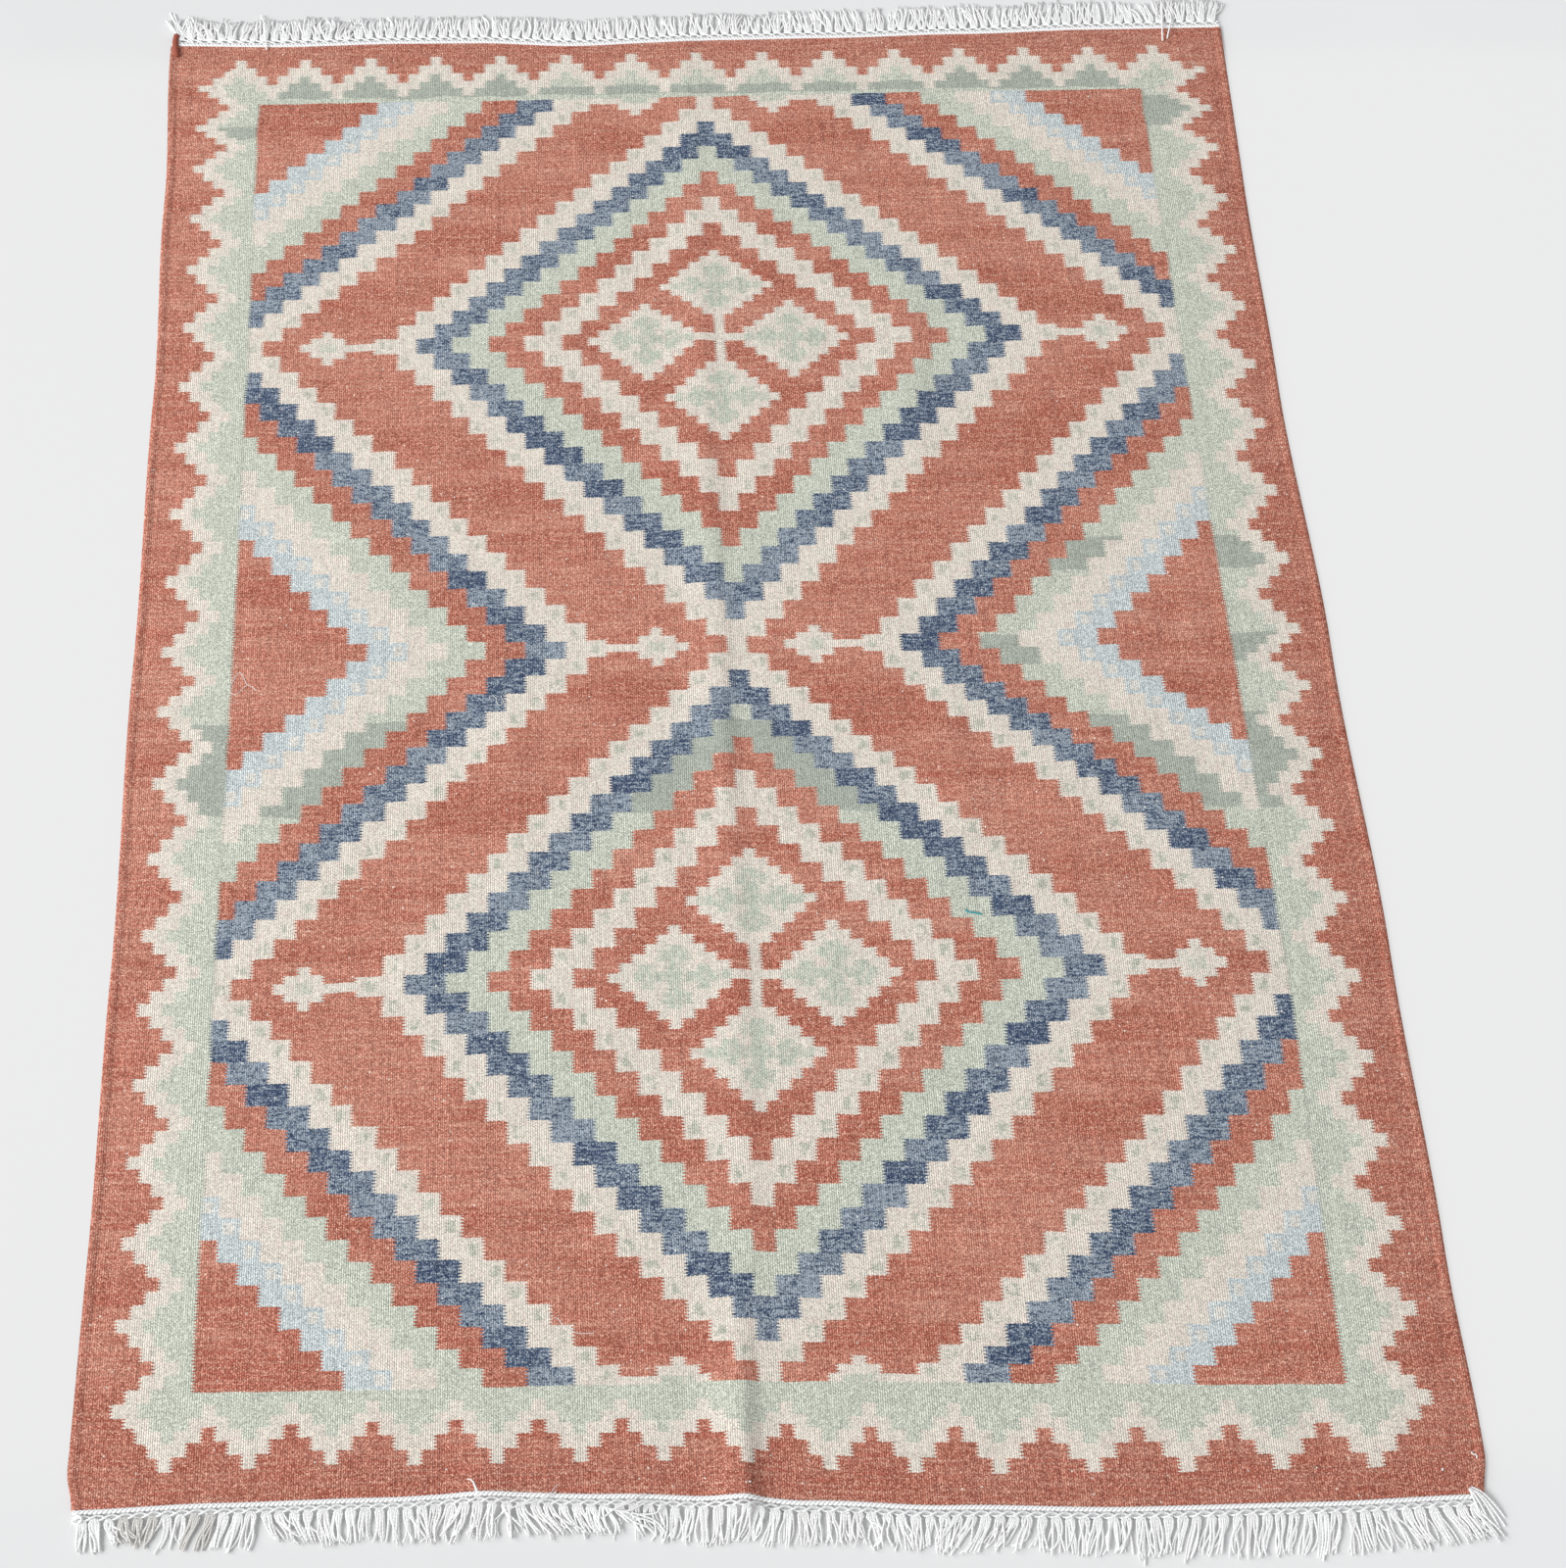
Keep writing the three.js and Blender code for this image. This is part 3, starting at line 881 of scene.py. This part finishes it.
# how the locks lie: degrees to the right and of bend, disorder, length
nearCombing = table(
    "across lean bend mess length",
    (0.0, -3, 0, 4, 30), (0.015, 10, 0, 6, 30), (0.035, 36, 20, 25, 24), (0.055, -28, 0, 10, 28),
    (0.075, -12, -8, 8, 28), (0.09, -22, 0, 5, 32), (0.115, -20, 0, 5, 32), (0.127, -16, 0, 6, 32),
    (0.134, 24, 5, 8, 30), (0.15, 32, 10, 12, 30), (0.163, 10, 20, 12, 31), (0.18, 2, 15, 6, 31),
    (0.21, 0, 0, 4, 29), (0.228, 8, 0, 8, 33), (0.243, 20, 5, 14, 34), (0.258, -5, 0, 16, 36),
    (0.272, -14, 5, 12, 34), (0.29, -24, 0, 16, 34), (0.302, 16, 10, 20, 30), (0.325, 42, 5, 16, 36),
    (0.352, 32, 5, 12, 31), (0.372, 20, 10, 14, 30), (0.385, 46, 10, 20, 22), (0.4, 12, 10, 20, 30),
    (0.42, 2, -8, 12, 32), (0.43, -14, -5, 5, 32), (0.445, 0, 0, 4, 31), (0.462, -10, 0, 6, 31),
    (0.48, -18, 0, 5, 31), (0.5, -12, 0, 6, 32), (0.525, -2, 5, 14, 31), (0.545, 0, 0, 8, 31),
    (0.563, 6, 0, 32, 31), (0.59, 4, 12, 8, 30), (0.61, -6, -10, 8, 31), (0.628, -44, 20, 14, 36),
    (0.645, -26, 0, 12, 34), (0.665, -32, 0, 10, 33), (0.685, -10, 0, 14, 34), (0.7, 0, 0, 6, 33),
    (0.72, -12, 0, 8, 35), (0.74, -10, 0, 20, 34), (0.76, 0, 0, 5, 36), (0.78, -18, 0, 5, 36),
    (0.805, -26, 0, 6, 37), (0.825, -6, 0, 16, 38), (0.848, -10, 0, 6, 38), (0.868, -18, 0, 6, 36),
    (0.888, -3, 0, 5, 40), (0.91, 4, 0, 5, 40), (0.93, 32, 0, 8, 40), (0.95, 24, 0, 8, 38),
    (0.975, 30, 0, 8, 38), (1.0, 38, 0, 8, 40))

farCombing = table(
    "across lean bend mess length",
    (0.0, -24, 0, 12, 38), (0.02, 10, 30, 30, 34), (0.045, -16, 0, 20, 34), (0.065, 14, 0, 16, 32),
    (0.09, -3, 0, 6, 35), (0.115, -2, 0, 6, 35), (0.135, -4, 10, 20, 38), (0.165, 18, 15, 25, 30),
    (0.185, -10, 0, 12, 34), (0.22, -4, 0, 8, 35), (0.24, 10, 0, 8, 35), (0.3, -3, 0, 8, 36),
    (0.345, 12, 0, 8, 36), (0.4, -4, 0, 8, 36), (0.5, 3, 0, 10, 36), (0.545, 8, 5, 16, 34),
    (0.6, -5, 0, 10, 36), (0.64, -8, 0, 10, 36), (0.7, 2, 0, 16, 36), (0.76, -5, 0, 12, 37),
    (0.8, 8, 0, 8, 38), (0.85, 3, 0, 8, 38), (0.905, 3, 0, 8, 38), (0.925, -30, 0, 12, 26),
    (0.945, 4, 0, 14, 38), (0.98, 6, 0, 8, 38), (1.0, 32, 0, 8, 38))

# single yarns apart from their locks: radius, then places
nearStrays = [
    (0.8, [(-266, -887, 5), (-262, -887, 6), (-259, -890, 7), (-257, -895, 7), (-254, -901, 6),
        (-252, -912, 5)]),
    (0.8, [(-263, -889, 5), (-258, -894, 6), (-256, -899, 7), (-253, -912, 5)]),
    (0.8, [(-184, -900, 5), (-187, -903, 6), (-196, -907, 7), (-211, -911, 7), (-228, -915, 6),
        (-240, -925, 3)]),
    (0.3, [(-181, -893, 4), (-184, -895, 6), (-188, -901, 6), (-196, -908, 6)]),
    (0.9, [(-101, -904, 5), (-108, -906, 7), (-113, -911, 8), (-121, -914, 8), (-130, -917, 7),
        (-140, -924, 3)]),
    (0.9, [(-94, -910, 5), (-100, -911, 7), (-109, -916, 7), (-115, -919, 7), (-124, -920, 6),
        (-140, -915, 6)]),
    (0.9, [(-119, -920, 6), (-109, -926, 5), (-100, -927, 4), (-92, -932, 3), (-86, -940, 2)]),
    (0.9, [(-115, -921, 6), (-103, -924, 6), (-91, -929, 4), (-84, -938, 3)]),
    (0.9, [(-122, -922, 6), (-112, -930, 5), (-101, -933, 4), (-92, -941, 2)]),
    (0.9, [(-87, -913, 7), (-90, -922, 7), (-100, -923, 6), (-109, -922, 5)]),
    (0.5, [(-126, -925, 4), (-123, -931, 2), (-130, -939, 1), (-131, -945, 1)]),
    (1.3, [(-622, -915, 3), (-617, -912, 5), (-613, -917, 5), (-618, -921, 4), (-623, -918, 3)]),
    (1, [(657, -915, 5), (666, -920, 6), (676, -934, 3), (685, -949, 1)]),
    (1, [(656, -914, 6), (665, -922, 6), (673, -936, 3), (680, -951, 1)]),
    (1, [(655, -915, 7), (661, -922, 6), (668, -938, 3), (674, -954, 1)]),
    (1, [(656, -916, 6), (659, -926, 6), (664, -940, 3), (667, -955, 1)]),
    (1, [(658, -913, 5), (668, -918, 5), (679, -931, 3), (686, -941, 1)]),
]
farStrays = [
    (1, [(-651, 915, 4), (-668, 932, 3), (-673, 943, 2), (-679, 957, 1), (-684, 968, 1)]),
    (1, [(-650, 918, 4), (-670, 943, 2), (-673, 951, 1), (-679, 966, 1)]),
    (1, [(-668, 920, 3), (-664, 945, 4), (-660, 953, 5), (-655, 956, 5), (-651, 944, 4),
        (-651, 931, 4), (-652, 922, 3)]),
    (1, [(-666, 920, 4), (-661, 940, 5), (-657, 949, 6), (-653, 940, 5), (-653, 922, 4)]),
    (1, [(-652, 950, 3), (-644, 944, 4), (-636, 939, 4), (-631, 928, 4), (-632, 919, 4),
        (-638, 919, 4), (-640, 928, 3), (-635, 931, 3)]),
    (1, [(-552, 918, 3), (-551, 932, 4), (-545, 935, 4), (-539, 932, 4), (-540, 918, 3)]),
    (1, [(-571, 961, 3), (-565, 944, 6), (-562, 922, 8), (-560, 900, 5)]),
    (1, [(552, 954, 3), (549, 934, 7), (547, 915, 8), (547, 903, 5)]),
    (1, [(558, 962, 3), (562, 940, 7), (557, 923, 8), (553, 907, 5)]),
]
# threads and lint on the cloth: 1 white, 0.5 red, 0 turquoise; radius, height, places
looseThreads = [
    (1, 0.33, 0.3, [
        (-512.8, -29.2), (-517.5, -24.3), (-523.7, -22.2), (-526.3, -14.9), (-529.9, -7.7), (-532.6, -6.1),
        (-535.9, -9.7), (-537.2, -15.8), (-539.5, -19.9), (-541.8, -23.9), (-541.4, -30.1), (-537.7, -33.7),
        (-533.4, -33.3), (-529.4, -29.3), (-525.3, -24.2), (-522.9, -21.6)]),
    (1, 0.33, 0.3, [
        (-261.2, -39.4), (-258.4, -42.3), (-256.3, -43.9), (-257.5, -47.6), (-255.2, -50.6),
        (-252.9, -53.4), (-251.5, -50.6), (-248.5, -47.7), (-250.6, -45.2), (-252.5, -40.3)]),
    (1, 0.33, 0.3, [
        (-187.4, -732.9), (-183.5, -734.1), (-181.1, -737.9), (-177.3, -742.8), (-174.1, -744.4),
        (-169.5, -746.9), (-164.9, -749.4), (-158.8, -749.5), (-149.8, -749.2)]),
    (1, 0.7, 0.5, [(663.2, -879.9), (664.2, -882.6), (666.6, -882.2), (668.1, -884.1), (667.2, -886.4)]),
    (1, 1.3, 0.4, [(633.2, -896), (634, -896), (634.8, -896)]),
    (1, 0.9, 0.3, [(-6.6, -897), (-6, -896), (-5.4, -897)]),
    (1, 0.9, 0.3, [(-394.6, 817), (-394, 817), (-393.4, 818)]),
    (1, 0.9, 0.3, [(446.4, 813), (447, 813), (447.6, 812)]),
    (0, 1.1, 0.4, [(228.4, -305.6), (229.1, -306.2), (230.7, -308.6), (237.3, -309.2), (244.7, -311.3)]),
    (0.5, 3.9, 0.4, [(-669, 890), (-671, 901), (-673, 914), (-672, 926)]),
]
looseYarn = {
    "turquoise": dye(78, 160, 166), "white": dye(250, 249, 245),
    "ply": 3.0, "plyShade": 0.04, "relief": 0.1, "sides": 6,
}


def scatter(number, seed):
    # -1 to 1, the same each time
    wave = math.sin(number * 127.1 + seed * 311.7) * 43758.5453
    return 2 * (wave - math.floor(wave)) - 1


def rounded(places):
    # each corner cut off, and then again
    points = np.array(places, float)
    for _ in range(2):
        a, b = points[:-1], points[1:]
        inner = np.stack([a * 0.75 + b * 0.25, a * 0.25 + b * 0.75], 1).reshape(-1, points.shape[1])
        points = np.concatenate([points[:1], inner, points[-1:]])
    return points


def twinedRow(side, spec):
    out, twist, radius, pitch, steps = spec
    count = round(clothWidth / pitch * steps)
    across = np.linspace(twining["inset"], 1 - twining["inset"], count + 1)
    end = (side + 1) / 2
    x, y, _ = planPoint(across, end)
    lift = liftAt(across, end)
    strands = []
    for k in (0, 1):
        phase = across * clothWidth / pitch * 2 * math.pi + k * math.pi
        away = out + twist * np.cos(phase)
        height = twining["height"] + twining["flat"] * twist * np.sin(phase)
        path = toFrame(x, y + side * away, lift + height)
        strands.append((path, np.full(count + 1, radius * mm), 1.0))
    return strands


def heading(side, name):
    strands = twinedRow(side, twining["first"]) + twinedRow(side, twining["second"])
    return newPiece(name, *tubes(strands, twining["sides"]), cotton)


def leg(startAside, lean, bend, wave, length):
    # from its shoulder a yarn leans more and more, bends and waves
    count = lock["legSteps"]
    share = (np.arange(count) + 0.5) / count
    leaning = lean * (0.4 + 0.6 * smooth(share / 0.35))
    bearing = np.radians(leaning + bend * (share - 0.3) + wave * np.sin(share * 5))
    aside = startAside + np.cumsum(np.sin(bearing)) * length / count
    away = lock["shoulder"] + np.cumsum(np.cos(bearing)) * length / count
    return aside, away


def looped(left, right, middle, half):
    # up one leg, round the loop and down the other
    arc = np.radians(lock["arc"])
    rise = lock["shoulder"] - lock["crown"] * half * np.sin(arc)
    aside = np.concatenate([left[0][::-1], middle + half * np.cos(arc), right[0]])
    return aside, np.concatenate([left[1][::-1], rise, right[1]])


def fringeLocks(side, combing, strays, name):
    rng = np.random.default_rng(lock["seed"][side])
    margin = lock["endMargin"] / clothWidth
    end = (side + 1) / 2
    legShare = (np.arange(lock["legSteps"]) + 1) / lock["legSteps"]
    share = np.concatenate([legShare[::-1], [0] * len(lock["arc"]), legShare])
    strands = []

    def disorder(kind):
        least, more = chance[kind]
        return least + comb["mess"] * more

    for number in range(lock["count"]):
        across = margin + (number + 0.5) / lock["count"] * (1 - 2 * margin)
        rootX, rootY, _ = planPoint(across, end)
        rootLift = liftAt(across, end)
        comb = {key: readTable(combing, "across", key, across) for key in combing}
        lean = comb["lean"] + chance["lean"] * scatter(number, side) + rng.normal(0, chance["lockLean"])
        length = comb["length"] - lock["trim"]
        length += chance["length"] * scatter(number, side + chance["lengthSeed"])
        middle = rng.normal(0, chance["middle"])
        loops = lock["loops"] + (rng.random() < lock["oneMore"][side])
        dirty = side < 0 and any(abs(across - place) < wide for place, wide in lock["soiled"])
        for k in range(loops):
            half = mixed(lock["leastHalf"], lock["halfWidth"], k / (loops - 1))
            half *= rng.uniform(*chance["size"])
            legs = []
            for way in (-1, 1):
                own = lean + way * rng.normal(lock["spread"][side] * k, chance["outwards"])
                own += rng.normal(0, disorder("yarnLean"))
                bend = comb["bend"] + rng.normal(0, disorder("bend"))
                wave = rng.normal(0, disorder("wave"))
                ownLength = length * (1 + rng.normal(0, chance["yarnLength"]))
                legs.append(leg(middle + way * half, own, bend, wave, ownLength))
            aside, away = looped(*legs, middle, half)
            layer = rng.uniform(0, disorder("layer"))
            height = lock["yarn"][side] + layer * smooth(share * 2.5)
            height = height + lock["rootHeight"] * (1 - smooth(share / 0.6))
            lift = rootLift * smooth(1 - share / lock["settled"])
            path = toFrame(rootX + aside, rootY + side * away, lift + height)
            thick = lock["yarn"][side] * mm * rng.uniform(*chance["size"])
            tone = rng.uniform(*chance["tone"]) * (lock["soiledTone"] if dirty else 1)
            strands.append((path, thick * mixed(1, lock["tip"], share ** 4), tone))
    for radius, places in strays:
        path = rounded(places)
        strands.append((toFrame(*path.T), np.full(len(path), radius * mm), 0.95))
    return newPiece(name, *tubes(strands, lock["sides"]), cotton, 100)


def clothHeight(x, y):
    # of the upper face
    across, along = 0.5, 0.5
    for _ in range(4):
        left, right, near, far = outline(across, along)
        across, along = (x - left) / (right - left), (y - near) / (far - near)
    return liftAt(across, along) + selvedgeProfile["height"][-1] + clothMesh["ripple"] * 1.5


def looseYarnMaterial():
    net = Net("looseYarn")
    tone, _ = net.map("tone")
    colour = net.mix(tone > 0.25, looseYarn["turquoise"], yarn["redShade"])
    colour = net.mix(tone > 0.75, colour, looseYarn["white"])
    return pliedYarn(net, colour, looseYarn)


def threads(name):
    strands = []
    for tone, radius, over, places in looseThreads:
        path = rounded(places)
        height = np.array([clothHeight(x, y) for x, y in path]) + over
        strands.append((toFrame(*path.T, height), np.full(len(path), radius * mm), tone))
    return newPiece(name, *tubes(strands, looseYarn["sides"]), looseYarnMaterial(), 100)


fringePieces = []
bothEnds = ((-1, nearCombing, nearStrays, "near"), (1, farCombing, farStrays, "far"))
for side, combing, strays, end in bothEnds:
    strip = heading(side, end + "Heading")
    locks = fringeLocks(side, combing, strays, end + "Fringe")
    for piece in (strip, locks):
        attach(piece, "root")
        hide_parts(end + "_fringe")
        fringePieces.append(piece)
    print(end, "heading and fringe:", len(strip.data.polygons) + len(locks.data.polygons), "faces")

lint = threads("looseThreads")
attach(lint, "root")
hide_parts("woven_cloth")
fringePieces + [lint]
print("threads strewn on the cloth:", len(looseThreads))


# Floor and light

studio = {
    "floorSize": 14, "floorDrop": 0.0003,  # a little below the rug
    "floorLeft": dye(223, 223, 223), "floorRight": dye(239, 239, 239),
    "floorTurn": (0.6, 0.5),  # share to a metre, and at 0
    # beside the cloth, to these metres along, the shadow is faint
    "floorGlow": dye(236, 236, 236), "glow": (0.92, 0.85, 0.75),
    "sky": 0.52, "skyColour": (0.97, 0.985, 1.0, 1),
    "sunTurn": (22, -50, 0), "sunSpread": 24, "sunPower": 1.76,
    "softPlace": (-3.4, -0.2, 1.9), "softSize": 2.0, "softPower": 58,
}


def makeFloor():
    bpy.ops.object.select_all(action="DESELECT")
    size, drop = studio["floorSize"], studio["floorDrop"]
    bpy.ops.mesh.primitive_plane_add(size=size, location=(0, 0, -drop))
    floor = bpy.context.object
    floor.name = "studioFloor"
    net = Net("paleFloor")
    place = net.node("ShaderNodeTexCoord", {}, {}, "Object")
    x = net.node("ShaderNodeSeparateXYZ", {}, {"Vector": place})
    glow = net.eased(abs(x.out("Y")), *studio["glow"])
    perMetre, middle = studio["floorTurn"]
    colour = net.mix(x * perMetre + middle, studio["floorLeft"], studio["floorRight"])
    inputs = {"Base Color": net.scaled(colour, 1 - glow), "Roughness": 0.9, "Specular IOR Level": 0.1}
    inputs["Emission Color"] = net.scaled(studio["floorGlow"][:3], glow)
    inputs["Emission Strength"] = 1.0
    floor.data.materials.append(net.surface(inputs))


def makeLight():
    turn = [math.radians(v) for v in studio["sunTurn"]]
    bpy.ops.object.light_add(type="SUN", rotation=turn)
    sun = bpy.context.object
    sun.data.energy = studio["sunPower"]
    sun.data.angle = math.radians(studio["sunSpread"])
    bpy.ops.object.light_add(type="AREA", location=studio["softPlace"])
    soft = bpy.context.object
    soft.data.size = studio["softSize"]
    soft.data.energy = studio["softPower"]
    soft.rotation_euler = (-Vector(studio["softPlace"])).to_track_quat("-Z", "Y").to_euler()
    world = bpy.data.worlds.new("studioSky")
    bpy.context.scene.world = world
    world.use_nodes = True
    backdrop = world.node_tree.nodes["Background"]
    backdrop.inputs["Color"].default_value = studio["skyColour"]
    backdrop.inputs["Strength"].default_value = studio["sky"]


makeFloor()
makeLight()
print("floor and light set")
